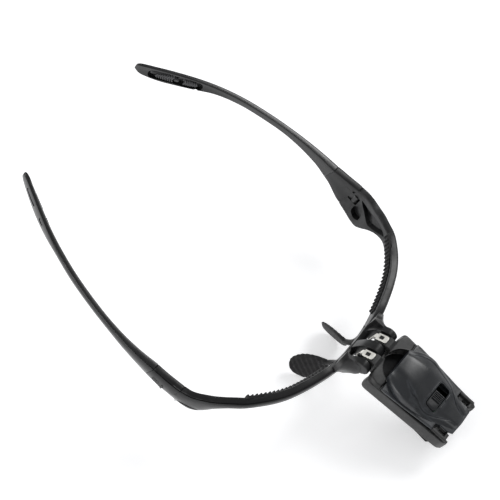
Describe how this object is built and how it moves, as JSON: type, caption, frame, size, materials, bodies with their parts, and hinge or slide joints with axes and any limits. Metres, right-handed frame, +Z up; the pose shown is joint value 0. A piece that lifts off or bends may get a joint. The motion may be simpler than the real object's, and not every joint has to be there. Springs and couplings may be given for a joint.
{
  "type": "head visor magnifier",
  "caption": "Spectacle-style head visor frame with folding detachable temples, nose pads, brow strips and a tilting bracket holding a lens slot and a clip-in LED lamp.",
  "frame": {"origin": "under the middle of the whole object's box, on the surface it stands on", "axes": "+X to the wearer's left, -Y forward (lamp), +Z up; the object stands tipped forward 23.25 degrees on its nose pads and the lamp's lower front edge"},
  "size_m": [0.1528, 0.2272, 0.0829],
  "materials": {
    "frame_plastic": "satin moulded nylon",
    "temple_plastic": "satin moulded nylon",
    "rubber": "matte soft rubber",
    "steel": "bright pressed steel",
    "lamp_plastic": "fine matte moulded ABS",
    "switch_plastic": "satin",
    "switch_case": "natural plastic",
    "circuit_board": "green solder mask",
    "contact_brass": "plated spring brass",
    "led_clear": "clear moulded lens",
    "cell_steel": "plated steel can"
  },
  "bodies": {
    "frame": {"front_frame": "frame_plastic", "tilt_pin": "steel", "brow_strip_left": "rubber", "brow_strip_right": "rubber", "nose_pad_left": "rubber", "nose_pad_right": "rubber", "temple_pin_left": "steel", "temple_pin_right": "steel"},
    "left_block": {"hinge_block_left": "temple_plastic"},
    "right_block": {"hinge_block_right": "temple_plastic"},
    "left_tab": {"release_tab_left": "temple_plastic"},
    "right_tab": {"release_tab_right": "temple_plastic"},
    "left_temple": {"temple_left": "temple_plastic", "ear_grip_left": "rubber"},
    "right_temple": {"temple_right": "temple_plastic", "ear_grip_right": "rubber"},
    "bracket": {"lamp_bracket": "lamp_plastic", "detent_clip_left": "steel", "detent_clip_right": "steel"},
    "lamp": {"lamp_cover": "lamp_plastic", "lamp_base": "lamp_plastic", "switch_body": "switch_case", "led_holder": "switch_case", "circuit_board": "circuit_board", "battery_contact_spring": "contact_brass", "battery_contact_plate": "contact_brass", "led_left": "led_clear", "led_right": "led_clear", "coin_cell_lower": "cell_steel", "coin_cell_upper": "cell_steel", "lamp_screws": "steel"},
    "battery_door": {"battery_door": "lamp_plastic"},
    "switch": {"switch_slider": "switch_plastic"}
  },
  "joints": [
    {"name": "left_temple_fold", "type": "hinge", "parent": "frame", "child": "left_block", "pos_m": [0.0723, -0.00212, 0.03228], "axis": [0, -0.3947, 0.9188], "range_deg": [0, 90]},
    {"name": "left_tab_press", "type": "slide", "parent": "left_block", "child": "left_tab", "axis": [-1, 0, 0], "range_m": [0, 0.0005], "stiffness_N_per_m": 1000, "springref_m": -0.0001},
    {"name": "left_temple_release", "type": "slide", "parent": "left_block", "child": "left_temple", "axis": [0, 0.9188, 0.3947], "range_m": [0, 0.009]},
    {"name": "right_temple_fold", "type": "hinge", "parent": "frame", "child": "right_block", "pos_m": [-0.0723, -0.00212, 0.03228], "axis": [0, -0.3947, 0.9188], "range_deg": [-90, 0]},
    {"name": "right_tab_press", "type": "slide", "parent": "right_block", "child": "right_tab", "axis": [1, 0, 0], "range_m": [0, 0.0005], "stiffness_N_per_m": 1000, "springref_m": -0.0001},
    {"name": "right_temple_release", "type": "slide", "parent": "right_block", "child": "right_temple", "axis": [0, 0.9188, 0.3947], "range_m": [0, 0.009]},
    {"name": "lamp_tilt", "type": "hinge", "parent": "frame", "child": "bracket", "pos_m": [0, -0.06269, 0.03619], "axis": [-1, 0, 0], "range_deg": [-15, 75]},
    {"name": "lamp_release", "type": "slide", "parent": "bracket", "child": "lamp", "axis": [0, -0.3947, 0.9188], "range_m": [0, 0.014]},
    {"name": "battery_door_turn", "type": "hinge", "parent": "lamp", "child": "battery_door", "pos_m": [0, -0.07306, 0.02031], "axis": [0, -0.3947, 0.9188], "range_deg": [0, 45]},
    {"name": "switch_slide", "type": "slide", "parent": "lamp", "child": "switch", "axis": [1, 0, 0], "range_m": [0, 0.004]}
  ]
}
